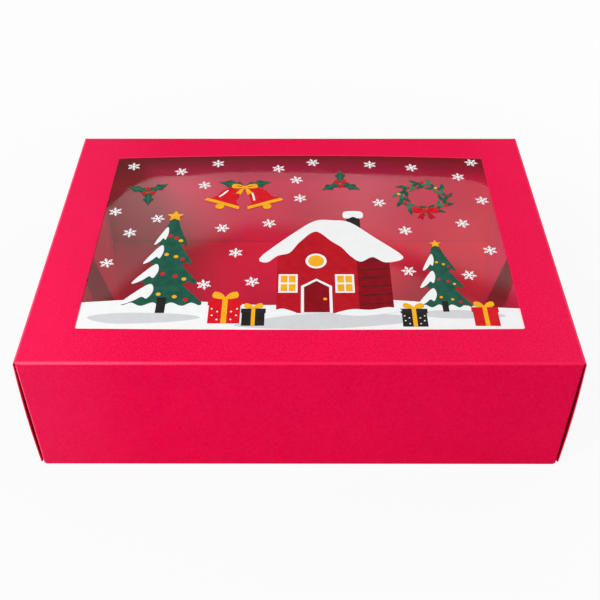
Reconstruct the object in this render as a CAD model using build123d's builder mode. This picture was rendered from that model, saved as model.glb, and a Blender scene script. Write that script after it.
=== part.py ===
"""Folding sweet box: a deep lift-off lid with a film window, over a folded paperboard tray.

Millimetres. The origin is the middle of the footprint on the table, +X to the right,
+Y to the back and +Z up. Every panel of the two folded blanks is a solid of its own,
parted from its neighbour at the crease.
"""
from build123d import *
import os

os.makedirs("parts", exist_ok=True)

# Lid over its outer faces
lid_width = 251.0
lid_depth = 182.0
lid_height = 70.5

# Sheet stock
board = 0.5
film = 0.2

# Creases and clearances
lid_fold_radius = 1.3
tray_fold_radius = 1.2
loose_fit = 0.3

# Window: the borders round it. Its long edges bow outwards, and the film is glued round it
window_side_border = 23.1
window_front_border = 21.4
window_back_border = 18.1
window_corner_radius = 1.3
window_back_bow = 3.0
window_front_bow = 0.7
film_glue_border = 8.0

# Cut edges of the lid above the table
wall_foot = 0.4
wall_corner_relief = 0.5
skirt_foot = 0.5

# Lid skirts: how far they stand out beyond the side fold, and their cut ends
skirt_bow = 0.85
skirt_foot_flare = 0.25
skirt_end_gap = 0.6
skirt_corner_radius = 1.1

# Liner: the hem's inner ply behind each skirt
liner_setback = 4.0
liner_taper = 3.0
liner_top_gap = 1.5
liner_corner_radius = 5.0

# Ears of the lid, between skirt and liner
lid_ear_length = 68.0
lid_ear_taper = 3.0
lid_ear_corner_radius = 4.0

# Tray: room inside the lid at its sides and at its front and back
side_clearance = 3.8
end_clearance = 3.2
rim_width = 5.5
inner_ply_end_gap = 1.5
side_wall_drop = 0.5

# Corner tabs of the tray, glued behind the outer plies
tab_length = 14.0
tab_taper = 4.0
tab_end_gap = 0.6

# Free ears of the tray: they stop short of the middle, and lean inwards more at the foot
tray_ear_side_gap = 2.0
tray_ear_top_gap = 3.2
tray_ear_foot_gap = 14.75
tray_ear_head_gap = 8.55
tray_ear_foot_lean_angle = 12.3
tray_ear_head_lean_angle = 1.8
tray_ear_corner_radius = 3.0

# Places worked out from the sizes above
half_width = lid_width / 2
half_depth = lid_depth / 2
lid_underside = lid_height - board
window_reach = half_width - window_side_border
window_front = window_front_border - half_depth
window_back = half_depth - window_back_border

corner_width = half_width - board - loose_fit
liner_outer = corner_width - board - loose_fit
liner_inner = liner_outer - board
skirt_foot_width = half_width + skirt_foot_flare
hem_radius = (skirt_foot_width - liner_inner) / 2
hem_start = skirt_foot + hem_radius
liner_top = lid_underside - liner_top_gap
liner_half_span = half_depth - liner_setback
lid_ear_foot = hem_start + loose_fit
lid_ear_head = lid_height - lid_fold_radius - loose_fit
lid_ear_end = half_depth - lid_fold_radius - lid_ear_length

tray_half_width = liner_inner - side_clearance
tray_half_depth = half_depth - board - end_clearance
tray_height = lid_underside - loose_fit
rim_fold = tray_height - tray_fold_radius
inner_ply_face = tray_half_depth - rim_width
inner_ply_foot = board + loose_fit
tab_face = tray_half_depth - board
tab_foot = tray_fold_radius + tab_end_gap
tab_head = rim_fold - tab_end_gap
ear_axis_x = tray_half_width - board - tray_ear_side_gap
ear_axis_y = inner_ply_face - loose_fit - board / 2
ear_foot = board + loose_fit
ear_head = tray_height - tray_ear_top_gap

LEFT_RIGHT = (("left", -1), ("right", 1))
FRONT_BACK = (("front", -1), ("back", 1))
CORNERS = [
    (f"{end_name}_{side_name}", side, end)
    for end_name, end in FRONT_BACK
    for side_name, side in LEFT_RIGHT
]


def upright(x, y):
    """Upright plane through the middle of the box: local X points outwards, local Y up."""
    return Plane(origin=(0, 0, 0), x_dir=(x, y, 0), z_dir=(y, -x, 0))


def level(side, end, height):
    """Level plane whose local X and Y point outwards to one corner of the box."""
    return Plane(origin=(0, 0, height), x_dir=(side, 0, 0), z_dir=(0, 0, side * end))


def fold_down(reach, height, radius):
    """Middle line of a quarter fold from a level panel's top face, down into a wall."""
    return JernArc((reach - radius, height - board / 2), (1, 0), radius - board / 2, -90)


def fold_up(reach, radius):
    """Middle line of a quarter fold from the floor panel up into a wall."""
    return JernArc((reach - radius, board / 2), (1, 0), radius - board / 2, 90)


def save(piece, name):
    """Labels a finished piece and writes it."""
    piece.label = name
    export_step(piece, f"parts/{name}.step")


# Lid: top panel with its window, and the film under it
with BuildPart() as lid_top_panel:
    with BuildSketch(Plane.XY.offset(lid_underside)):
        Rectangle(lid_width - 2 * lid_fold_radius, lid_depth - 2 * lid_fold_radius)
        with BuildSketch(mode=Mode.SUBTRACT):
            with BuildLine():
                right_edge = Line(
                    (window_reach, window_front + window_front_bow),
                    (window_reach, window_back - window_back_bow),
                )
                left_edge = mirror(right_edge, about=Plane.YZ)
                ThreePointArc(right_edge @ 1, (0, window_back), left_edge @ 1)
                ThreePointArc(left_edge @ 0, (0, window_front), right_edge @ 0)
            make_face()
            fillet(vertices(), radius=window_corner_radius)
    extrude(amount=board)
save(lid_top_panel.part, "lid_top_panel")

with BuildPart() as window_film:
    with BuildSketch(Plane.XY.offset(lid_underside - film)):
        with Locations((0, (window_front + window_back) / 2)):
            Rectangle(
                2 * (window_reach + film_glue_border),
                window_back - window_front + 2 * film_glue_border,
            )
    extrude(amount=film)
save(window_film.part, "window_film")

# Lid: front and back walls, folded down from the top panel
for end_name, end in FRONT_BACK:
    with BuildPart() as lid_wall:
        with BuildSketch(upright(0, end)):
            with BuildLine():
                fold = fold_down(half_depth, lid_height, lid_fold_radius)
            trace(line_width=board)
        extrude(amount=half_width - lid_fold_radius, both=True)
        with BuildSketch(upright(0, end)):
            with BuildLine():
                Line(fold @ 1, (half_depth - board / 2, wall_foot))
            trace(line_width=board)
        extrude(amount=corner_width - lid_fold_radius, both=True)
    save(lid_wall.part, f"lid_{end_name}_wall")

# Lid: ears folded round the vertical corners, cut back where the hem starts
for corner_name, side, end in CORNERS:
    with BuildPart() as lid_ear:
        with BuildSketch(level(side, end, lid_height / 2)):
            with BuildLine():
                bend = fold_down(corner_width, half_depth, lid_fold_radius)
                Line(bend @ 1, (corner_width - board / 2, lid_ear_end))
            trace(line_width=board)
        extrude(amount=lid_height / 2, both=True)
        with BuildSketch(upright(0, end)):
            with BuildLine():
                Polyline(
                    (half_depth, wall_foot + wall_corner_relief),
                    (half_depth, lid_ear_head),
                    (lid_ear_end, lid_ear_head - lid_ear_taper),
                    (lid_ear_end, lid_ear_foot + lid_ear_taper),
                    (liner_half_span, lid_ear_foot),
                    close=True,
                )
            make_face()
            fillet(vertices().group_by(Axis.X)[0], radius=lid_ear_corner_radius)
        extrude(amount=half_width, both=True, mode=Mode.INTERSECT)
    save(lid_ear.part, f"lid_{corner_name}_ear")

# Lid: side skirts that bow outwards, and the hem with its liner behind each
for side_name, side in LEFT_RIGHT:
    with BuildPart() as lid_skirt:
        with BuildSketch(upright(side, 0)):
            with BuildLine():
                fold = fold_down(half_width, lid_height, lid_fold_radius)
                ThreePointArc(
                    fold @ 1,
                    (half_width - board / 2 + skirt_bow, (lid_height + skirt_foot) / 2),
                    (skirt_foot_width - board / 2, skirt_foot),
                )
            trace(line_width=board)
        extrude(amount=half_depth - skirt_end_gap, both=True)
        with BuildSketch(upright(0, 1)):
            with Locations((0, skirt_foot)):
                Rectangle(
                    lid_depth - 2 * skirt_end_gap,
                    lid_height,
                    align=(Align.CENTER, Align.MIN),
                )
            fillet(vertices().group_by(Axis.Y)[0], radius=skirt_corner_radius)
            Rectangle(
                2 * liner_half_span,
                hem_start,
                align=(Align.CENTER, Align.MIN),
                mode=Mode.SUBTRACT,
            )
        extrude(amount=lid_width, both=True, mode=Mode.INTERSECT)
    save(lid_skirt.part, f"lid_{side_name}_skirt")

    with BuildPart() as lid_liner:
        with BuildSketch(upright(side, 0)):
            with BuildLine():
                hem = JernArc(
                    (skirt_foot_width - board / 2, hem_start), (0, -1), hem_radius - board / 2, -180
                )
                Line(hem @ 1, (liner_inner + board / 2, liner_top))
            trace(line_width=board)
        extrude(amount=liner_half_span, both=True)
        with BuildSketch(upright(0, 1)):
            with BuildLine():
                Polyline(
                    (-liner_half_span, skirt_foot),
                    (-liner_half_span, hem_start),
                    (liner_taper - liner_half_span, liner_top),
                    (liner_half_span - liner_taper, liner_top),
                    (liner_half_span, hem_start),
                    (liner_half_span, skirt_foot),
                    close=True,
                )
            make_face()
            fillet(vertices().group_by(Axis.Y)[-1], radius=liner_corner_radius)
        extrude(amount=lid_width, both=True, mode=Mode.INTERSECT)
    save(lid_liner.part, f"lid_{side_name}_liner")

# Tray: floor, and side walls of one ply
with BuildPart() as base_floor:
    with BuildSketch():
        Rectangle(
            2 * (tray_half_width - tray_fold_radius),
            2 * (tray_half_depth - tray_fold_radius),
        )
    extrude(amount=board)
save(base_floor.part, "base_floor")

for side_name, side in LEFT_RIGHT:
    with BuildPart() as side_wall:
        with BuildSketch(upright(side, 0)):
            with BuildLine():
                fold = fold_up(tray_half_width, tray_fold_radius)
                Line(fold @ 1, (tray_half_width - board / 2, tray_height - side_wall_drop))
            trace(line_width=board)
        extrude(amount=tab_face - tray_fold_radius, both=True)
    save(side_wall.part, f"base_{side_name}_wall")

# Tray: front and back walls of two plies, with a flat rim between them
for end_name, end in FRONT_BACK:
    with BuildPart() as outer_ply:
        with BuildSketch(upright(0, end)):
            with BuildLine():
                fold = fold_up(tray_half_depth, tray_fold_radius)
                Line(fold @ 1, (tray_half_depth - board / 2, rim_fold))
            trace(line_width=board)
        extrude(amount=tray_half_width, both=True)
    save(outer_ply.part, f"base_{end_name}_wall")

    with BuildPart() as rim:
        with BuildSketch(upright(0, end)):
            with BuildLine():
                outer_bend = fold_down(tray_half_depth, tray_height, tray_fold_radius)
                inner_bend = JernArc(
                    (inner_ply_face + board / 2, rim_fold), (0, 1), tray_fold_radius - board / 2, -90
                )
                Line(inner_bend @ 1, outer_bend @ 0)
            trace(line_width=board)
        extrude(amount=tray_half_width - board - loose_fit, both=True)
    save(rim.part, f"base_{end_name}_rim")

    with BuildPart() as inner_ply:
        with BuildSketch(upright(0, end)):
            with BuildLine():
                Line(
                    (inner_ply_face + board / 2, inner_ply_foot),
                    (inner_ply_face + board / 2, rim_fold),
                )
            trace(line_width=board)
        extrude(amount=tray_half_width - board - inner_ply_end_gap, both=True)
    save(inner_ply.part, f"base_{end_name}_liner")

# Tray: tabs that fold round its corners from the side walls
for corner_name, side, end in CORNERS:
    with BuildPart() as tab:
        tab_end = tray_half_width - tray_fold_radius - tab_length
        with BuildSketch(level(side, end, tray_height / 2)):
            with BuildLine():
                bend = fold_down(tray_half_width, tab_face, tray_fold_radius)
                Line((tab_end, tab_face - board / 2), bend @ 0)
            trace(line_width=board)
        extrude(amount=tray_height / 2, both=True)
        with BuildSketch(upright(side, 0)):
            with BuildLine():
                Polyline(
                    (tray_half_width, tab_foot),
                    (tray_half_width, tab_head),
                    (tab_end, tab_head - tab_taper),
                    (tab_end, tab_foot + tab_taper),
                    close=True,
                )
            make_face()
        extrude(amount=half_depth, both=True, mode=Mode.INTERSECT)
    save(tab.part, f"base_{corner_name}_tab")

# Tray: free ears, each a sheet with a twist between its leaning foot and its head
for corner_name, side, end in CORNERS:
    with BuildPart() as tray_ear:
        for height, lean_angle in (
            (ear_foot, tray_ear_foot_lean_angle),
            (ear_head, tray_ear_head_lean_angle),
        ):
            with BuildSketch(level(side, end, height)):
                with BuildLine():
                    PolarLine((ear_axis_x, ear_axis_y), tray_half_depth, -90 - lean_angle)
                trace(line_width=board)
        loft(ruled=True)
        with BuildSketch(upright(0, end)):
            with BuildLine():
                Polyline(
                    (half_depth, ear_foot),
                    (half_depth, ear_head),
                    (tray_ear_head_gap, ear_head),
                    (tray_ear_foot_gap, ear_foot),
                    close=True,
                )
            make_face()
            fillet(vertices().sort_by(Axis.X)[0:2], radius=tray_ear_corner_radius)
        extrude(amount=half_width, both=True, mode=Mode.INTERSECT)
    save(tray_ear.part, f"base_{corner_name}_ear")
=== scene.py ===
"""Looks of the folded sweet box: paperboard, printed film window, studio light and camera.

Metres, in the model's own frame: +X right, +Y back, +Z up, with the front at -Y.
"""
import math

import bpy
from mathutils import Matrix, Vector


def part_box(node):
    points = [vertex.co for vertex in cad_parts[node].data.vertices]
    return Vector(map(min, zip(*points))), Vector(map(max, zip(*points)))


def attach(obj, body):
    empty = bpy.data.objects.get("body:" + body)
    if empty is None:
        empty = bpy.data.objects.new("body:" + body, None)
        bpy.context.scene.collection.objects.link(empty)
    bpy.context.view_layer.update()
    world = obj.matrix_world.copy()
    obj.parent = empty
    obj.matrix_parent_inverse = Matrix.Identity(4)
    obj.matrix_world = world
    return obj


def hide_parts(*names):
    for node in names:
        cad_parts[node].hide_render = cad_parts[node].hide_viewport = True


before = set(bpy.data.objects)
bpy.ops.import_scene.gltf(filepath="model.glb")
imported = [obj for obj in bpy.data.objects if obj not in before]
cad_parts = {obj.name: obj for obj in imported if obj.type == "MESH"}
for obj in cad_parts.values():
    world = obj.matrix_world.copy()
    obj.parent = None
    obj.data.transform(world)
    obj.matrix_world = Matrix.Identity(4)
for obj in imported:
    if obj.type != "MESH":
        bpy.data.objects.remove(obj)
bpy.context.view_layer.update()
MM = 0.001


def new_material(name):
    """An empty node material and its tree."""
    material = bpy.data.materials.new(name)
    material.use_nodes = True
    material.node_tree.nodes.clear()
    return material, material.node_tree


def add(tree, kind, inputs=None, **settings):
    """Adds a node. An input is a plain value, or another node's output socket."""
    node = tree.nodes.new("ShaderNode" + kind)
    for key, value in settings.items():
        setattr(node, key, value)
    for key, value in (inputs or {}).items():
        if isinstance(value, bpy.types.NodeSocket):
            tree.links.new(value, node.inputs[key])
        else:
            node.inputs[key].default_value = value
    return node


def math_node(tree, operation, a, b=0.0, c=0.0):
    return add(tree, "Math", {0: a, 1: b, 2: c}, operation=operation).outputs[0]


def span(tree, value, low, high, to_low=0.0, to_high=1.0):
    """Maps low..high to to_low..to_high with soft ends."""
    node = add(
        tree,
        "MapRange",
        {"Value": value, "From Min": low, "From Max": high, "To Min": to_low, "To Max": to_high},
        interpolation_type="SMOOTHSTEP",
    )
    return node.outputs["Result"]


def blend_colour(tree, factor, first, second):
    node = add(tree, "Mix", data_type="RGBA")
    for socket, value in ((node.inputs[0], factor), (node.inputs[6], first), (node.inputs[7], second)):
        if isinstance(value, bpy.types.NodeSocket):
            tree.links.new(value, socket)
        else:
            socket.default_value = value
    return node.outputs[2]


def noise(tree, place, scale, detail=2.0, roughness=0.5, stretch=None):
    if stretch:
        place = add(tree, "Mapping", {"Vector": place, "Scale": stretch}).outputs[0]
    return add(
        tree,
        "TexNoise",
        {"Vector": place, "Scale": scale, "Detail": detail, "Roughness": roughness},
    ).outputs["Fac"]


def out(tree, shader):
    add(tree, "OutputMaterial", {"Surface": shader})


def rgb(red, green, blue):
    return (red, green, blue, 1.0)


# colours of the board's cut edge, partly a painted highlight; rubbed creases with a painted highlight;
# painted shade in the slits;
# painted sheen at the ends; pale fibres; painted shade at the head of the inner plies; and the painted red
# glow behind the tray's ears
CORE_AND_HIGHLIGHT = rgb(0.86, 0.055, 0.13)
WORN_AND_HIGHLIGHT = rgb(0.97, 0.098, 0.19)
PAINTED_SLIT_SHADE = rgb(0.50, 0.0015, 0.024)
PAINTED_SHEEN_END = rgb(0.860, 0.0085, 0.077)
SPECK = rgb(0.87, 0.018, 0.100)
PAINTED_SHADE_HEAD = rgb(0.585, 0.0006, 0.080)
PAINTED_GLOW_COLOUR = rgb(1.0, 0.003, 0.045)
DARK = rgb(0.0, 0.0, 0.0)

# noises of the board: scale, detail, roughness and stretch
FIBRE = (480.0, 5.0, 0.62, (1.0, 0.55, 1.0))
MOTTLE = (200.0, 3.0, 0.6)
GRAIN = (1050.0, 2.0, 0.6)
CLOUD = (60.0, 3.0, 0.6)

# the board's lengths: where the painted sheen at its ends begins, and where the painted glow lies inside
# the tray
LEFT_END = (-65 * MM, -128 * MM)
RIGHT_END = (85 * MM, 128 * MM)
INNER_FACE = 119.3 * MM
FLOOR_TOP = 0.3 * MM
BEHIND_EARS = (104 * MM, 112 * MM)


def board_material(
    name,
    light,
    deep,
    cut_axis,
    speck=0.25,
    gloss=0.015,
    sheen_right=0.07,
    fold=None,
    wear_and_highlight_right=0.18,
    painted_shade_inside=False,
    shade_span=None,
    painted_glow_strength=0.0,
):
    """Crimson board, dyed on both faces, with the pale specks of its fibres.

    cut_axis is the axis along which its cut edges face, or None where they face any level way.
    fold is (height, width) of a crease where the coat is rubbed and a highlight is painted,
    wear_and_highlight_right its strength at the right end against that at the left. painted_shade_inside
    paints shade on the face towards the middle.
    shade_span is the span of heights over which painted shade deepens the tone towards the fold above.
    painted_glow_strength is the strength of a red glow painted on the board in the gaps behind the tray's
    ears, standing in for light of many bounces.
    """
    material, tree = new_material(name)
    place = add(tree, "TexCoord").outputs["Object"]
    across, _, height = add(tree, "SeparateXYZ", {0: place}).outputs
    fibre = noise(tree, place, *FIBRE)
    mottle = noise(tree, place, *MOTTLE)
    grain = noise(tree, place, *GRAIN)
    tone = math_node(tree, "MULTIPLY_ADD", mottle, 0.4, math_node(tree, "MULTIPLY", fibre, 0.6))
    colour = blend_colour(tree, span(tree, tone, 0.36, 0.64), deep, light)
    # painted sheen and light towards the panels' ends, full at the left end, with more pale specks there
    left = span(tree, across, *LEFT_END)
    sheen_ends = math_node(tree, "ADD", left, span(tree, across, *RIGHT_END, 0.0, sheen_right))
    colour = blend_colour(tree, sheen_ends, colour, PAINTED_SHEEN_END)
    amount = math_node(tree, "MULTIPLY_ADD", sheen_ends, 0.35, speck)
    specks = math_node(tree, "MULTIPLY", span(tree, grain, 0.42, 0.60), amount)
    colour = blend_colour(tree, specks, colour, SPECK)
    # painted shade, deepening the inner plies towards their top
    if shade_span:
        colour = blend_colour(tree, span(tree, height, *shade_span), colour, PAINTED_SHADE_HEAD)
    cloud = span(tree, noise(tree, place, *CLOUD), 0.3, 0.7, 0.983, 1.017)
    colour = add(tree, "VectorMath", {0: colour, "Scale": cloud}, operation="SCALE").outputs[0]
    normal = add(tree, "SeparateXYZ", {0: add(tree, "NewGeometry").outputs["True Normal"]})
    facing = math_node(tree, "ABSOLUTE", normal.outputs[2 if cut_axis is None else cut_axis])
    # pale core on the cut edges; the stronger mix on the top board is partly a painted highlight along the
    # window's edge
    if cut_axis is None:
        cut = span(tree, facing, 0.5, 0.2, 0.0, 0.9)
    else:
        cut = span(tree, facing, 0.75, 0.9, 0.0, 0.35)
    colour = blend_colour(tree, cut, colour, CORE_AND_HIGHLIGHT)
    # painted highlight at the left upright corners, where the face turns towards the light; rubbed coat
    # with a painted highlight along the fold, stronger at the left
    corner = math_node(tree, "ABSOLUTE", math_node(tree, "MULTIPLY", normal.outputs[0], normal.outputs[1]))
    wear_and_highlight = span(tree, corner, 0.15, 0.40, 0.0, 0.8)
    wear_and_highlight = math_node(tree, "MULTIPLY", wear_and_highlight, span(tree, across, 0.0, -0.10))
    if fold:
        fold_height, width = fold
        off = math_node(tree, "ABSOLUTE", math_node(tree, "SUBTRACT", height, fold_height))
        rubbed_and_lit = span(tree, across, -0.122, 0.0, 1.0, wear_and_highlight_right)
        crease = math_node(tree, "MULTIPLY", span(tree, off, width, width * 0.25), rubbed_and_lit)
        wear_and_highlight = math_node(tree, "MAXIMUM", wear_and_highlight, crease)
    wear_and_highlight = math_node(tree, "MULTIPLY", wear_and_highlight, span(tree, grain, 0.3, 0.7, 0.75, 1.0))
    colour = blend_colour(tree, wear_and_highlight, colour, WORN_AND_HIGHLIGHT)
    # painted shade on the skirts' inner faces, which darkens the slit between skirt and ear
    if painted_shade_inside:
        outward = math_node(tree, "MULTIPLY", math_node(tree, "SIGN", across), normal.outputs[0])
        colour = blend_colour(tree, span(tree, outward, -0.2, -0.6), colour, PAINTED_SLIT_SHADE)
    bump = add(tree, "Bump", {"Strength": 0.30, "Distance": 0.00010, "Height": fibre})
    bump = add(
        tree,
        "Bump",
        {"Strength": 0.35, "Distance": 0.00005, "Height": grain, "Normal": bump.outputs[0]},
    )
    shader = add(
        tree,
        "BsdfPrincipled",
        {
            "Base Color": colour,
            "Roughness": span(tree, mottle, 0.3, 0.7, 0.52, 0.62),
            "Specular IOR Level": gloss,
            "Normal": bump.outputs[0],
        },
    )
    # a painted red glow, emitted by the board behind the tray's ears in place of light of many bounces
    if painted_glow_strength:
        aside = math_node(tree, "ABSOLUTE", across)
        within = math_node(tree, "LESS_THAN", aside, INNER_FACE)
        upper = math_node(tree, "GREATER_THAN", height, FLOOR_TOP)
        within = math_node(tree, "MULTIPLY", within, upper)
        within = math_node(tree, "MULTIPLY", within, span(tree, aside, *BEHIND_EARS))
        glow = blend_colour(tree, within, DARK, PAINTED_GLOW_COLOUR)
        tree.links.new(glow, shader.inputs["Emission Color"])
        shader.inputs["Emission Strength"].default_value = painted_glow_strength
    out(tree, shader.outputs[0])
    return material


def ink_material(name, light, deep):
    """Screen-printed ink: slightly uneven, with the fine stipple of the screen."""
    material, tree = new_material(name)
    place = add(tree, "TexCoord").outputs["Object"]
    uneven = noise(tree, place, 260.0, 3.0, 0.55)
    stipple = noise(tree, place, 2600.0, 1.0)
    tone = math_node(tree, "MULTIPLY_ADD", stipple, 0.25, math_node(tree, "MULTIPLY", uneven, 0.75))
    bump = add(tree, "Bump", {"Strength": 0.12, "Distance": 0.00003, "Height": stipple})
    shader = add(
        tree,
        "BsdfPrincipled",
        {
            "Base Color": blend_colour(tree, span(tree, tone, 0.36, 0.64), deep, light),
            "Roughness": 0.42,
            "Specular IOR Level": 0.05,
            "Normal": bump.outputs[0],
        },
    )
    out(tree, shader.outputs[0])
    return material


def film_material():
    """Clear film: see-through, with a sharp reflection that grows as the view gets shallower."""
    material, tree = new_material("clear_film")
    place = add(tree, "TexCoord").outputs["Object"]
    back = add(tree, "NewGeometry").outputs["Backfacing"]
    index = span(tree, back, 0.0, 1.0, 1.5, 1.0 / 1.5)
    one_face = add(tree, "Fresnel", {"IOR": index}).outputs[0]
    # two faces of the film reflect: 2F / (1 + F)
    both = math_node(
        tree,
        "DIVIDE",
        math_node(tree, "MULTIPLY", one_face, 2.0),
        math_node(tree, "ADD", one_face, 1.0),
    )
    scuffs = span(tree, noise(tree, place, 60.0, 4.0, 0.6, (1.0, 3.0, 1.0)), 0.35, 0.75, 0.020, 0.045)
    gloss = add(tree, "BsdfGlossy", {"Color": rgb(1.0, 1.0, 1.0), "Roughness": scuffs})
    clear = add(tree, "BsdfTransparent", {"Color": rgb(0.975, 0.975, 0.98)})
    mixed = add(tree, "MixShader", {0: both, 1: clear.outputs[0], 2: gloss.outputs[0]})
    out(tree, mixed.outputs[0])
    return material


def mesh_object(name, verts, faces, material, smooth=False):
    mesh = bpy.data.meshes.new(name)
    mesh.from_pydata(verts, [], faces)
    mesh.validate()
    for polygon in mesh.polygons:
        polygon.use_smooth = smooth
    mesh.materials.append(material)
    piece = bpy.data.objects.new(name, mesh)
    bpy.context.scene.collection.objects.link(piece)
    return piece


# the board's tones, light and deep, on each kind of face; the top is painted darker, and the tray's inner
# plies and floor painted lighter, than the walls, to offset how light falls on them
TOP_TONES_PAINTED_DARKER = (rgb(0.815, 0.0022, 0.060), rgb(0.798, 0.0003, 0.052))
WALL_TONES = (rgb(0.860, 0.0014, 0.064), rgb(0.838, 0.0001, 0.057))
INSIDE_TONES_PAINTED_LIGHTER = (rgb(0.920, 0.0018, 0.115), rgb(0.895, 0.0006, 0.105))
FLOOR_TONES_PAINTED_LIGHTER = (rgb(0.885, 0.0016, 0.068), rgb(0.865, 0.0003, 0.060))
# height and half width of the rubbed crease along the lid's fold, which also carries a painted highlight
FOLD = (70.16 * MM, 0.62 * MM)
# heights over which painted shade deepens the inner plies towards their top, under the lid's back border
PAINTED_SHADE_SPAN = (43 * MM, 56.5 * MM)
# strength of the painted red glow in the gaps behind the tray's ears
PAINTED_GLOW_STRENGTH = 0.045
top_board = board_material("board_top", *TOP_TONES_PAINTED_DARKER, None, speck=0.45, gloss=0.045, sheen_right=0.37)
end_board = board_material("board_end", *WALL_TONES, 0, fold=FOLD)
side_board = board_material("board_side", *WALL_TONES, 1, fold=FOLD, wear_and_highlight_right=0.8, painted_shade_inside=True)
ear_board = board_material("board_ear", *WALL_TONES, 2)
tray_end_board = board_material("tray_board_end", *WALL_TONES, 0)
tray_side_board = board_material("tray_board_side", *WALL_TONES, 1)
inner_board = board_material("tray_board_inside", *INSIDE_TONES_PAINTED_LIGHTER, 0, shade_span=PAINTED_SHADE_SPAN)
floor_board = board_material("tray_board_floor", *FLOOR_TONES_PAINTED_LIGHTER, 0, painted_glow_strength=PAINTED_GLOW_STRENGTH)
wall_board = board_material("tray_board_wall", *WALL_TONES, 1, painted_glow_strength=PAINTED_GLOW_STRENGTH)
inner_ear_board = board_material("tray_board_ear", *INSIDE_TONES_PAINTED_LIGHTER, 2)

BOARDS = {
    "lid_top_panel": top_board,
    "lid_left_skirt": side_board,
    "lid_right_skirt": side_board,
    "lid_left_liner": tray_side_board,
    "lid_right_liner": tray_side_board,
    "base_front_liner": inner_board,
    "base_back_liner": inner_board,
    "base_left_wall": wall_board,
    "base_right_wall": wall_board,
    "base_floor": floor_board,
}


def board_of(name):
    """The board of a CAD node: its own, that of all ears, or that of the lid's or tray's ends."""
    if name in BOARDS:
        return BOARDS[name]
    if name.endswith("ear"):
        return ear_board if name.startswith("lid") else inner_ear_board
    return end_board if name.startswith("lid") else tray_end_board


for name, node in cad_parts.items():
    for slot in node.material_slots:
        slot.material = board_of(name)


# the film is glued flat round its border and faintly wavy inside
film_low, film_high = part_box("window_film")
# left, front, right and back of the free film, its slack's height, and how far in that is full
WINDOW = (-102.4 * MM, -69.6 * MM, 102.4 * MM, 72.9 * MM)
SLACK = 0.016 * MM
HOLD = 18 * MM
# the sheet's depth below the film solid's top
FILM_DEPTH = 0.12 * MM


def film_wave(x, y):
    """Height of the film's slack, in metres, and nothing at the glued border."""
    left, front, right, back = WINDOW
    inset = min(x - left, right - x, y - front, back - y)
    hold = min(max(inset / HOLD, 0.0), 1.0)
    hold = hold * hold * (3 - 2 * hold)
    long_wave = math.sin(x / (21 * MM) + y / (37 * MM))
    cross_wave = math.sin(y / (19 * MM) - x / (45 * MM) + 1.3)
    return SLACK * hold * (long_wave + 0.7 * cross_wave)


columns, rows = 148, 104
film_z = film_high.z - FILM_DEPTH
verts = []
for j in range(rows + 1):
    for i in range(columns + 1):
        x = film_low.x + (film_high.x - film_low.x) * i / columns
        y = film_low.y + (film_high.y - film_low.y) * j / rows
        verts.append((x, y, film_z + film_wave(x, y)))
faces = [
    (a, a + 1, a + columns + 2, a + columns + 1)
    for j in range(rows)
    for a in range(j * (columns + 1), j * (columns + 1) + columns)
]
film = mesh_object("clear_window_film", verts, faces, film_material(), smooth=True)
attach(film, "lid")
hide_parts("window_film")


# the print lies on the film's upper side
PRINT = film_z + 0.035 * MM
LAYER = 0.032 * MM
# a shape's lift over the one before it, in layers, and the number of lifts before they repeat
LIFT = 0.03
LIFTS = 24
# a shape's thickness, in layers
THICK = 0.8


class Ink:
    """All shapes of one ink at one layer, drawn in millimetres on the film and made as thin solids."""

    def __init__(self, name, layer, material):
        self.name = name
        self.layer = layer
        self.material = material
        self.verts = []
        self.faces = []
        self.count = 0

    def shape(self, points):
        """A closed outline, listed anticlockwise, a hair above the last one until the lifts repeat."""
        top = PRINT + (self.layer + 1 + LIFT * (self.count % LIFTS)) * LAYER
        self.count += 1
        first, count = len(self.verts), len(points)
        for z in (top, top - THICK * LAYER):
            self.verts += [(x * MM, y * MM, z) for x, y in points]
        self.faces.append(tuple(range(first, first + count)))
        self.faces.append(tuple(range(first + 2 * count - 1, first + count - 1, -1)))
        for i in range(count):
            j = (i + 1) % count
            self.faces.append((first + i, first + count + i, first + count + j, first + j))

    def disc(self, x, y, radius, squash=1.0, steps=28):
        turns = [2 * math.pi * i / steps for i in range(steps)]
        self.shape([(x + radius * math.cos(a), y + radius * squash * math.sin(a)) for a in turns])

    def stroke(self, points, width):
        """A line of even width with square ends."""
        left, right = [], []
        for i, (x, y) in enumerate(points):
            ax, ay = points[max(i - 1, 0)]
            bx, by = points[min(i + 1, len(points) - 1)]
            length = math.hypot(bx - ax, by - ay)
            nx, ny = -(by - ay) / length * width / 2, (bx - ax) / length * width / 2
            left.append((x + nx, y + ny))
            right.append((x - nx, y - ny))
        self.shape(right + left[::-1])

    def build(self):
        piece = mesh_object(self.name, self.verts, self.faces, self.material)
        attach(piece, "lid")


def arc(four, steps):
    """A smooth arc from the second of four points towards the third, without its end."""
    p0, p1, p2, p3 = (Vector(point) for point in four)
    places = []
    for s in range(steps):
        t = s / steps
        a = 2 * p1 + (p2 - p0) * t + (2 * p0 - 5 * p1 + 4 * p2 - p3) * t * t
        places.append(tuple((a + (3 * p1 - p0 - 3 * p2 + p3) * t ** 3) / 2))
    return places


def smooth(points, steps=8):
    """Closed curve through the points."""
    curve = []
    for i in range(len(points)):
        curve += arc([points[(i + k - 1) % len(points)] for k in range(4)], steps)
    return curve


def smooth_line(points, steps=8):
    """Open curve through the points."""
    padded = [points[0], *points, points[-1]]
    curve = []
    for i in range(len(points) - 1):
        curve += arc(padded[i:i + 4], steps)
    return curve + [tuple(points[-1])]


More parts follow.
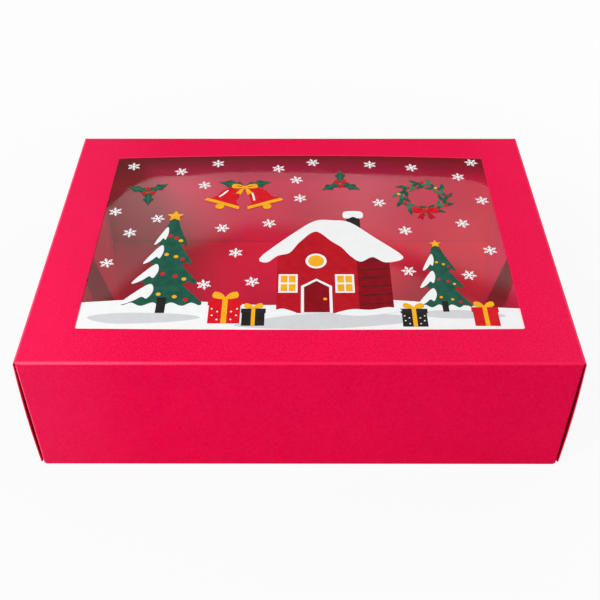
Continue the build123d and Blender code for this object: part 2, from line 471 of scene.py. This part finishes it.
white_ink = ink_material("ink_white", rgb(0.875, 0.88, 0.885), rgb(0.850, 0.855, 0.862))
grey_ink = ink_material("ink_grey", rgb(0.640, 0.647, 0.665), rgb(0.612, 0.620, 0.640))
red_ink = ink_material("ink_red", rgb(0.70, 0.012, 0.022), rgb(0.62, 0.008, 0.017))
coat_ink = ink_material("ink_coat", rgb(0.50, 0.010, 0.019), rgb(0.43, 0.007, 0.015))
maroon_ink = ink_material("ink_maroon", rgb(0.26, 0.005, 0.011), rgb(0.21, 0.004, 0.009))
green_ink = ink_material("ink_green", rgb(0.020, 0.110, 0.070), rgb(0.012, 0.080, 0.052))
leaf_ink = ink_material("ink_leaf", rgb(0.055, 0.200, 0.110), rgb(0.040, 0.160, 0.088))
black_ink = ink_material("ink_black", rgb(0.024, 0.020, 0.020), rgb(0.015, 0.013, 0.013))
yellow_ink = ink_material("ink_yellow", rgb(0.93, 0.46, 0.020), rgb(0.86, 0.38, 0.012))

# the inks in the order they are built; an ink with a higher layer lies on top
ground = Ink("print_snow_ground", 0, white_ink)
drift = Ink("print_snow_shade", 1, grey_ink)
flakes = Ink("print_flakes", 1, white_ink)
maroon = Ink("print_maroon", 2, maroon_ink)
green = Ink("print_green_low", 2, green_ink)
high_green = Ink("print_green_high", 3, green_ink)
black = Ink("print_black", 3, black_ink)
coat = Ink("print_walls", 3, coat_ink)
red = Ink("print_red", 4, red_ink)
leaf = Ink("print_leaf", 4, leaf_ink)
pane = Ink("print_panes", 4, black_ink)
white = Ink("print_white", 5, white_ink)
yellow = Ink("print_yellow", 6, yellow_ink)
yellow_top = Ink("print_yellow_top", 7, yellow_ink)
dots = Ink("print_red_dots", 6, red_ink)
INKS = (
    ground, drift, flakes, maroon, green, high_green, black, coat, red, leaf, pane, white, yellow,
    yellow_top, dots,
)


def turned(points, x, y, size=1.0, degrees=0.0):
    """The points scaled, turned and then moved to x, y."""
    angle = math.radians(degrees)
    c = size * math.cos(angle)
    s = size * math.sin(angle)
    return [(x + u * c - v * s, y + u * s + v * c) for u, v in points]


def box_points(left, low, right, high):
    return [(left, low), (right, low), (right, high), (left, high)]


def star(ink, x, y, radius):
    """A star of five points, one of them upright."""
    outline = []
    for i in range(10):
        reach = radius * (0.48 if i % 2 else 1.0)
        angle = math.radians(90 + 36 * i)
        outline.append((x + reach * math.cos(angle), y + reach * math.sin(angle)))
    ink.shape(outline)


# a snow crystal's radius in millimetres, an arm's half width, and the arm that points right
FLAKE = 3.6
HALF = 0.105
ARM = [
    (1.732 * HALF, -HALF),
    (0.46, -HALF),
    (0.62, -0.27),
    (0.74, -0.24),
    (0.66, -HALF),
    (0.98, -HALF),
    (1.02, 0.0),
    (0.98, HALF),
    (0.66, HALF),
    (0.74, 0.24),
    (0.62, 0.27),
    (0.46, HALF),
]


def flake(x, y, turn):
    """A plain six-armed snow crystal as one outline."""
    outline = []
    for k in range(6):
        outline += turned(ARM, x, y, FLAKE, turn + 60 * k)
    flakes.shape(outline)


# a fir's bough and the snow on its left shoulder, for a bough of half width 1
BOUGH = [
    (0, 1.75),
    (-0.42, 0.95),
    (-0.80, 0.32),
    (-0.97, 0.04),
    (-0.92, -0.09),
    (-0.72, 0.03),
    (-0.48, -0.12),
    (-0.20, 0.04),
    (0, -0.14),
    (0.24, 0.04),
    (0.50, -0.12),
    (0.72, 0.03),
    (0.92, -0.09),
    (0.97, 0.04),
    (0.80, 0.32),
    (0.42, 0.95),
]
SHOULDER = [
    (-0.99, -0.02),
    (-0.90, -0.05),
    (-0.66, 0.13),
    (-0.50, 0.30),
    (-0.36, 0.22),
    (-0.24, 0.62),
    (-0.36, 0.92),
    (-0.78, 0.36),
]
BAUBLES = ((0.30, 0.30), (-0.10, 0.42), (0.58, 0.16))


def fir(x, foot, width, height, tiers=4):
    """A fir tree with drooping boughs, snow on its left shoulders, baubles and a star."""
    trunk = height * 0.09
    black.shape(box_points(x - width * 0.055, foot, x + width * 0.055, foot + trunk * 1.6))
    rise = (height - trunk) / (tiers + 0.55)
    for tier in range(tiers):
        low = foot + trunk + rise * tier
        half = width / 2 * (1 - 0.19 * tier)
        ink = (green, high_green)[tier % 2]
        ink.shape(smooth([(x + half * u, low + rise * v) for u, v in BOUGH], 5))
        white.shape(smooth([(x + half * u, low + rise * v) for u, v in SHOULDER], 4))
        for share, up in BAUBLES:
            bauble = (yellow, dots)[(tier + (share > 0.5)) % 2]
            bauble.disc(x + half * share, low + rise * up, width * 0.030, steps=14)
    star(yellow, x, foot + height, width * 0.12)


def gift(x, foot, width, height, box_ink, spots=None):
    """A wrapped box seen from the front, with a yellow band and bow."""
    seam = foot + height * 0.74
    high = foot + height
    box_ink.shape(box_points(x - width * 0.46, foot, x + width * 0.46, seam))
    box_ink.shape(box_points(x - width * 0.5, seam, x + width * 0.5, high))
    yellow.shape(box_points(x - width * 0.08, foot, x + width * 0.08, high))
    for hand in (-1, 1):
        loop = [
            (x, high),
            (x + hand * width * 0.12, foot + height * 1.24),
            (x + hand * width * 0.34, foot + height * 1.30),
            (x + hand * width * 0.36, foot + height * 1.06),
        ]
        if hand < 0:
            yellow.shape(smooth(loop, 6))
        else:
            yellow_top.shape(smooth(loop[::-1], 6))
        if spots:
            for share, up in ((0.20, 0.16), (0.35, 0.34), (0.20, 0.50), (0.37, 0.62)):
                spots.disc(x + hand * width * share, foot + height * up * 0.95, width * 0.030, steps=12)


# the lower edge of a leaf that points right, from its stalk to its tip
SPINY = [(0.06, -0.05), (0.26, -0.21), (0.38, -0.12), (0.58, -0.25), (0.71, -0.13), (1.0, 0.0)]


def spiny_leaf(ink, x, y, size, degrees):
    """A leaf with spines on both edges, a mid rib and two veins."""
    ink.shape(turned(SPINY + [(u, -v) for u, v in SPINY[::-1][1:]], x, y, size, degrees))
    leaf.stroke(turned([(0.14, 0), (0.5, 0), (0.9, 0)], x, y, size, degrees), size * 0.04)
    for hand in (-1, 1):
        vein = turned([(0.40, 0), (0.56, hand * 0.13)], x, y, size, degrees)
        leaf.stroke(vein, size * 0.03)


def holly(x, y, size, turn):
    """Three spiny leaves and three berries."""
    for lean in (28, 150, 268):
        spiny_leaf(green, x, y, size, lean + turn)
    for lean in (92, 212, 332):
        angle = math.radians(lean + turn)
        berry = (x + size * 0.20 * math.cos(angle), y + size * 0.20 * math.sin(angle))
        dots.disc(*berry, size * 0.115, steps=18)


bow_tail = Ink("print_bow_tails", 7, coat_ink)
bow_loop = Ink("print_bow_loops", 8, red_ink)
bow_crease = Ink("print_bow_creases", 9, maroon_ink)
bow_knot = Ink("print_bow_knots", 9, red_ink)
gold_tail = Ink("print_gold_tails", 7, yellow_ink)
gold_loop = Ink("print_gold_loops", 8, yellow_ink)
gold_crease = Ink("print_gold_creases", 9, coat_ink)
gold_knot = Ink("print_gold_knots", 9, yellow_ink)
RED_BOW = (bow_tail, bow_loop, bow_crease, bow_knot)
GOLD_BOW = (gold_tail, gold_loop, gold_crease, gold_knot)
INKS += RED_BOW + GOLD_BOW


# the right tail and the right loop of a bow of size 1
TAIL = [(0, 0.05), (0.34, -0.30), (0.62, -0.78), (0.40, -0.80), (0.26, -0.98), (0.02, -0.16)]
LOOP = [(0.02, 0), (0.35, 0.34), (0.82, 0.38), (0.92, -0.04), (0.44, -0.16)]


def bow(inks, x, y, size, degrees=0.0):
    """Two tails, two loops over them and a knot."""
    tail_ink, loop_ink, crease_ink, knot_ink = inks
    for hand in (-1, 1):
        tail = [(u * hand, v) for u, v in TAIL]
        loop = [(u * hand, v) for u, v in LOOP]
        if hand > 0:
            tail.reverse()
            loop.reverse()
        tail_ink.shape(turned(tail[::-1], x, y, size, degrees))
        loop_ink.shape(turned(smooth(loop, 6), x, y, size, degrees))
        crease = [(0.20 * hand, 0.05), (0.56 * hand, 0.14)]
        crease_ink.stroke(turned(crease, x, y, size, degrees), size * 0.07)
    knot_ink.disc(x, y, size * 0.15, steps=18)


def bell(x, y, size, degrees):
    """A hand bell hanging from x, y, with a rim, a shine and a clapper."""
    side = [(0.0, -0.02), (-0.16, -0.06), (-0.30, -0.26), (-0.36, -0.58), (-0.44, -0.80), (-0.60, -0.98)]
    body = side + [(-u, v) for u, v in side[::-1][:-1]]
    red.shape(turned(smooth_line(body, 5), x, y, size, degrees))
    band = [(-0.62, -0.92), (-0.66, -1.08), (0.66, -1.08), (0.62, -0.92)]
    yellow.shape(turned(band, x, y, size, degrees))
    knob = turned([(0, -1.19)], x, y, size, degrees)[0]
    yellow.disc(knob[0], knob[1], size * 0.15, steps=16)
    shine = smooth_line([(-0.17, -0.24), (-0.21, -0.48), (-0.27, -0.70)], 5)
    white.stroke(turned(shine, x, y, size, degrees), size * 0.07)


def wreath(x, y, radius):
    """A ring of leaves with berries and a bow."""
    count = 22
    size = radius * 0.46
    blade = smooth([(0, 0), (0.4, -0.22), (1.0, 0), (0.4, 0.22)], 4)
    for i in range(count):
        turn = 360 * i / count
        reach = radius * (0.84 if i % 2 else 1.02)
        px, py = turned([(reach, 0)], x, y, 1.0, turn)[0]
        ink = (green, leaf, high_green)[i % 3]
        ink.shape(turned(blade, px, py, size, turn + (62 if i % 2 else 118)))
        ink.shape(turned(blade, px, py, size, turn + (125 if i % 2 else 50)))
    for i in range(9):
        px, py = turned([(radius * (0.90 if i % 2 else 1.06), 0)], x, y, 1.0, 8 + 40 * i)[0]
        (yellow if i % 3 == 1 else dots).disc(px, py, radius * 0.082, steps=14)
    bow(RED_BOW, x, y - radius * 0.98, radius * 0.60)


# snow ground and its soft shadows
ground.shape(
    [(-108, -77), (108, -77)]
    + smooth_line(
        [
            (108, -55.0), (92, -54.0), (70, -52.0), (44, -49.0), (16, -50.0), (-14, -52.5),
            (-42, -50.5), (-70, -48.5), (-94, -50.0), (-108, -51.5),
        ],
        6,
    )
)
drift.shape(smooth([(-98, -61), (-84, -58), (-58, -58.5), (-46, -61.0), (-60, -64.0), (-86, -65.0)], 8))
drift.shape(smooth([(-30, -66.5), (-4, -59.5), (26, -58.0), (56, -60.5), (48, -64.5), (8, -68.6)], 8))
drift.shape(smooth([(54, -57.5), (72, -55.8), (88, -57.5), (95, -60), (80, -61.5), (62, -60.8)], 8))

# trees
fir(-65, -58, 39, 74)
fir(68, -57, 26, 50, 3)

# cottage
maroon.shape([(28, -58), (44, -54.5), (44, -18), (28, -18)])
black.shape([(28, -18), (8, 6), (22, 6), (48, -18)])
black.shape(box_points(24, -2, 31, 16))
coat.shape([(-11, -58), (28, -58), (28, -18.5), (8.5, 3.5), (-11, -18.5)])
for step in range(6):
    low = -52 + 6.2 * step
    pane.stroke([(29.5, low), (43.5, low + 1.2)], 0.55)
white.shape(
    smooth(
        [
            (8, 12), (-2, 3), (-17, -14), (-20, -20), (-16, -21.5), (-11, -16.5), (-5, -14.0),
            (0, -5.5), (8, 3), (16, -5), (21, -10), (25, -16.5), (30, -21.0), (36, -17.5),
            (42, -21.5), (50, -19.5), (50, -15), (38, -2), (26, 10.5), (17, 12.5),
        ],
        6,
    )
)
door = Ink("print_door", 7, maroon_ink)
cap = [
    (22.5, 15), (22.8, 19.5), (27.5, 20.5), (32.3, 19.5), (32.6, 15), (30, 14.2), (27.5, 15.4),
    (25, 14.0),
]
white.shape(smooth(cap[::-1], 6))
white.shape([(0.6, -58), (15.4, -58), (15.4, -39.2), (8, -33.8), (0.6, -39.2)])
door.shape([(2, -57.6), (14, -57.6), (14, -40), (8, -35.5), (2, -40)])
knob = Ink("print_knob", 8, yellow_ink)
knob.disc(12.0, -48.5, 0.9, steps=14)
INKS += (door, knob)
for middle in (-5.6, 21.6):
    white.shape(box_points(middle - 4.6, -44, middle + 4.6, -30.6))
    for px in (-1.95, 1.95):
        for py in (-40.4, -34.2):
            left, right = middle + px - 1.6, middle + px + 1.6
            yellow.shape(box_points(left, py - 2.5, right, py + 2.5))
white.disc(8, -20.5, 5.2, 1.1)
yellow.disc(8, -20.5, 3.9, 1.1)
white.shape(smooth([(-15, -59), (-6, -60), (-1, -58.8), (-4, -56.6), (-9, -55.2)], 6))
snow_bank = [
    (17, -58.8), (30, -60), (47, -56.8), (42, -54.0), (33, -55.8), (25, -55.4), (19, -57.0),
]
white.shape(smooth(snow_bank, 6))

# gifts
gift(-35, -65, 16, 16.5, red, white)
gift(-21.5, -66.5, 11.5, 11.5, black)
gift(53, -67, 12.5, 12, black, white)
gift(86, -66.5, 12.5, 12.5, red)

# bells, wreath and sprig
bell(-35.0, 41.5, 15.5, -24)
bell(-25.0, 41.5, 15.5, 24)
for lean in (14, 166):
    spiny_leaf(green, -30.0, 43.5, 15, lean)
bow(GOLD_BOW, -30.0, 42.0, 7.5)
wreath(66, 33, 12.5)
holly(-82, 38, 12.5, 8)
holly(22, 46, 12.5, 62)

# each flake's place and turn
for x, y, turn in (
    (-93, 62, 6),
    (-66, 57, 22),
    (-97, 20, 10),
    (-87, 2, 0),
    (-95, -22, 18),
    (-46, 65, 3),
    (-52, 44, 14),
    (-40, 6, 26),
    (-12, 60, 8),
    (-32, -14, 0),
    (-23, -36, 12),
    (7, 66, 20),
    (0, 32, 5),
    (-16, 10, 12),
    (39, 64, 0),
    (42, 28, 16),
    (54, 4, 8),
    (53, -28, 24),
    (62, 61, 9),
    (87, 52, 0),
    (96, 66, 18),
    (97, 30, 6),
    (84, 10, 13),
    (95, -12, 2),
    (82, -31, 20),
    (-46, -38, 11),
    (-2, 49, 17),
    (-74, 14, 24),
):
    flake(x, y, turn + 30)

for ink in INKS:
    ink.build()


BACKDROP = rgb(0.983, 0.983, 0.985)
FLOOR_RINGS = (0.25, 0.8, 2.0, 6.0)
RING_STEPS = 96


def floor_material():
    """White paper sweep. The camera sees it near white, with the box's faint shadow kept."""
    material, tree = new_material("sweep")
    place = add(tree, "TexCoord").outputs["Object"]
    tone = noise(tree, place, 9.0, 2.0)
    paper = add(
        tree,
        "BsdfDiffuse",
        {"Color": blend_colour(tree, tone, rgb(0.735, 0.735, 0.74), rgb(0.75, 0.75, 0.75))},
    )
    glow = add(tree, "Emission", {"Color": BACKDROP, "Strength": 1.0})
    flat = add(tree, "VectorMath", {0: place, 1: (1.0, 1.0, 0.0)}, operation="MULTIPLY")
    reach = add(tree, "VectorMath", {0: flat.outputs[0]}, operation="LENGTH").outputs["Value"]
    paths = add(tree, "LightPath")
    seen = math_node(tree, "MAXIMUM", paths.outputs["Is Camera Ray"], paths.outputs["Is Glossy Ray"])
    seen = math_node(tree, "MAXIMUM", seen, paths.outputs["Is Transmission Ray"])
    share = math_node(tree, "MULTIPLY", seen, span(tree, reach, 0.13, 0.36, 0.94, 1.0))
    mixed = add(tree, "MixShader", {0: share, 1: paper.outputs[0], 2: glow.outputs[0]})
    out(tree, mixed.outputs[0])
    return material


turns = [2 * math.pi * i / RING_STEPS for i in range(RING_STEPS)]
floor_verts = [(0.0, 0.0, 0.0)]
floor_faces = []
for level, radius in enumerate(FLOOR_RINGS):
    floor_verts += [(radius * math.cos(a), radius * math.sin(a), 0.0) for a in turns]
    for i in range(RING_STEPS):
        j = (i + 1) % RING_STEPS
        if level == 0:
            floor_faces.append((0, 1 + i, 1 + j))
        else:
            a = 1 + (level - 1) * RING_STEPS
            b = 1 + level * RING_STEPS
            floor_faces.append((a + i, b + i, b + j, a + j))
floor = mesh_object("floor", floor_verts, floor_faces, floor_material())


def softbox_material():
    """Diffuser cloth of the softbox: bright below a line that falls to the middle, dim above it."""
    material, tree = new_material("softbox_cloth")
    place = add(tree, "TexCoord").outputs["Object"]
    x, _, z = add(tree, "SeparateXYZ", {0: place}).outputs

    def hump(middle, reach):
        off = math_node(tree, "ABSOLUTE", math_node(tree, "SUBTRACT", x, middle))
        return span(tree, off, reach, 0.0)

    # the cloth's level between its lamps, and what each lamp adds where it stands behind it
    left_lamp = math_node(tree, "MULTIPLY", hump(-0.240, 0.155), span(tree, z, 0.695, 0.805, 0.44, 0.20))
    right_lamp = math_node(tree, "MULTIPLY", hump(0.290, 0.12), span(tree, z, 0.650, 0.780, -0.12, 0.13))
    level = math_node(tree, "ADD", math_node(tree, "ADD", left_lamp, right_lamp), 0.54)
    level = math_node(tree, "MULTIPLY_ADD", hump(0.10, 0.12), 0.22, level)
    # the bright part ends at a line that falls towards the middle from both sides
    line = math_node(tree, "MULTIPLY_ADD", x, 0.12, 0.768)
    for slope, height in ((-0.41, 0.721), (-1.10, 0.535), (0.45, 0.733)):
        line = math_node(tree, "MAXIMUM", line, math_node(tree, "MULTIPLY_ADD", x, slope, height))
    above = math_node(tree, "SUBTRACT", z, line)
    level = math_node(tree, "MULTIPLY", level, span(tree, above, 0.020, -0.030, 0.28, 1.0))
    # above the line, the cloth's upper right part is lit again beyond a slanting fold
    fold = math_node(tree, "SUBTRACT", z, math_node(tree, "MULTIPLY_ADD", x, 0.545, 0.738))
    patch = math_node(tree, "MULTIPLY", span(tree, fold, 0.006, 0.036), span(tree, x, 0.116, 0.166))
    level = math_node(tree, "MULTIPLY_ADD", patch, 0.38, level)
    cloth = span(tree, noise(tree, place, 5.0, 2.0), 0.2, 0.8, 0.92, 1.08)
    level = math_node(tree, "MULTIPLY", cloth, level)
    glow = add(tree, "Emission", {"Color": rgb(1.0, 0.985, 0.97), "Strength": level})
    out(tree, glow.outputs[0])
    return material


def softbox_rim_material():
    """Dark woven rim, faintly lit, a little more so on the left."""
    material, tree = new_material("softbox_rim")
    place = add(tree, "TexCoord").outputs["Object"]
    weave = noise(tree, place, 300.0, 2.0)
    across = add(tree, "SeparateXYZ", {0: place}).outputs[0]
    level = span(tree, across, -0.35, 0.35, 0.155, 0.095)
    level = math_node(tree, "MULTIPLY", level, span(tree, weave, 0.2, 0.8, 0.9, 1.1))
    glow = add(tree, "Emission", {"Color": rgb(1.0, 0.96, 0.97), "Strength": level})
    out(tree, glow.outputs[0])
    return material


# the softbox stands upright at SOFTBOX_Y; its edge is in the plane of x and z
SOFTBOX_Y = 0.90
SOFTBOX_MIDDLE = 0.98
RIM_WIDTH = 0.10
RIM_GAP = 0.002
softbox_edge = smooth(
    [
        (-0.571, 1.221), (-0.549, 0.933), (-0.426, 0.789), (-0.3345, 0.7215), (-0.3137, 0.7030),
        (-0.2902, 0.6825), (-0.2671, 0.6682), (-0.2511, 0.6605), (-0.2337, 0.6565), (-0.1806, 0.6544),
        (-0.1166, 0.6498), (-0.0025, 0.6470), (0.0970, 0.6482), (0.1820, 0.6530), (0.2246, 0.6552),
        (0.2677, 0.6612), (0.3146, 0.6772), (0.4074, 0.7450), (0.551, 0.911),
        (0.574, 1.220), (0.432, 1.345), (-0.429, 1.345),
    ],
    6,
)
softbox = mesh_object(
    "softbox",
    [(x, SOFTBOX_Y, z) for x, z in softbox_edge],
    [tuple(range(len(softbox_edge)))],
    softbox_material(),
)
rim_verts, rim_faces = [], []
for x, z in softbox_edge:
    away = Vector((x, z - SOFTBOX_MIDDLE)).normalized() * RIM_WIDTH
    for side, up in ((x, z), (x + away.x, z + away.y)):
        rim_verts.append((side, SOFTBOX_Y + RIM_GAP, up))
for i in range(len(softbox_edge)):
    j = (i + 1) % len(softbox_edge)
    rim_faces.append((2 * i, 2 * j, 2 * j + 1, 2 * i + 1))
softbox_rim = mesh_object("softbox_rim", rim_verts, rim_faces, softbox_rim_material())
for piece in (softbox, softbox_rim):
    piece.visible_camera = False


def area_light(name, place, target, size, power):
    """A round white lamp that faces its target. size is in metres and power in watts."""
    light = bpy.data.lights.new(name, "AREA")
    light.shape = "DISK"
    light.size = size
    light.energy = power
    lamp = bpy.data.objects.new(name, light)
    lamp.location = place
    lamp.rotation_mode = "QUATERNION"
    lamp.rotation_quaternion = (Vector(target) - Vector(place)).to_track_quat("-Z", "Y")
    lamp.visible_camera = False
    bpy.context.scene.collection.objects.link(lamp)


# name, place, target, size and power
for lamp in (
    ("key", (-0.60, -0.50, 0.79), (0, 0, 0.05), 0.46, 9.3),
    ("right", (0.50, 0.08, 0.50), (0, 0, 0.05), 0.30, 0.36),
    ("fill", (0.30, 0.16, 0.50), (0.12, 0.03, 0.07), 0.30, 0.50),
):
    area_light(*lamp)

# the world lights the box at one level, and the camera and the film see it at another
world = bpy.data.worlds.new("studio")
bpy.context.scene.world = world
world.use_nodes = True
sky = world.node_tree
sky.nodes.clear()
paths = add(sky, "LightPath")
seen = math_node(sky, "MAXIMUM", paths.outputs["Is Camera Ray"], paths.outputs["Is Glossy Ray"])
seen = math_node(sky, "MAXIMUM", seen, paths.outputs["Is Transmission Ray"])
lighting = add(sky, "Background", {"Color": rgb(1.0, 1.0, 1.0), "Strength": 0.31})
backdrop = add(sky, "Background", {"Color": BACKDROP, "Strength": 1.0})
sky_mix = add(sky, "MixShader", {0: seen, 1: lighting.outputs[0], 2: backdrop.outputs[0]})
add(sky, "OutputWorld", {"Surface": sky_mix.outputs[0]})

# the camera stands at the photograph's viewing angle
# picture side and focal length in pixels, sensor width in millimetres, angles in radians
SIDE = 600.0
FOCAL = 917.6875
SENSOR = 36.0
PITCH, YAW, ROLL = 0.7369675, -0.0030733, -0.0013530
STAND = (0.0011231, -0.3683231, 0.3597785)
ahead = Vector((math.sin(YAW) * math.cos(PITCH), math.cos(YAW) * math.cos(PITCH), -math.sin(PITCH)))
right = ahead.cross(Vector((0, 0, 1))).normalized()
up = right.cross(ahead)
right, up = (
    right * math.cos(ROLL) + up * math.sin(ROLL),
    -right * math.sin(ROLL) + up * math.cos(ROLL),
)
camera_data = bpy.data.cameras.new("camera")
camera_data.sensor_width = SENSOR
camera_data.lens = SENSOR * FOCAL / SIDE
camera_data.clip_start = 0.01
camera_data.clip_end = 20.0
camera = bpy.data.objects.new("camera", camera_data)
turn = Matrix((right, up, -ahead)).transposed().to_4x4()
camera.matrix_world = Matrix.Translation(STAND) @ turn
bpy.context.scene.collection.objects.link(camera)
bpy.context.scene.camera = camera
bpy.context.scene.view_settings.view_transform = "Standard"
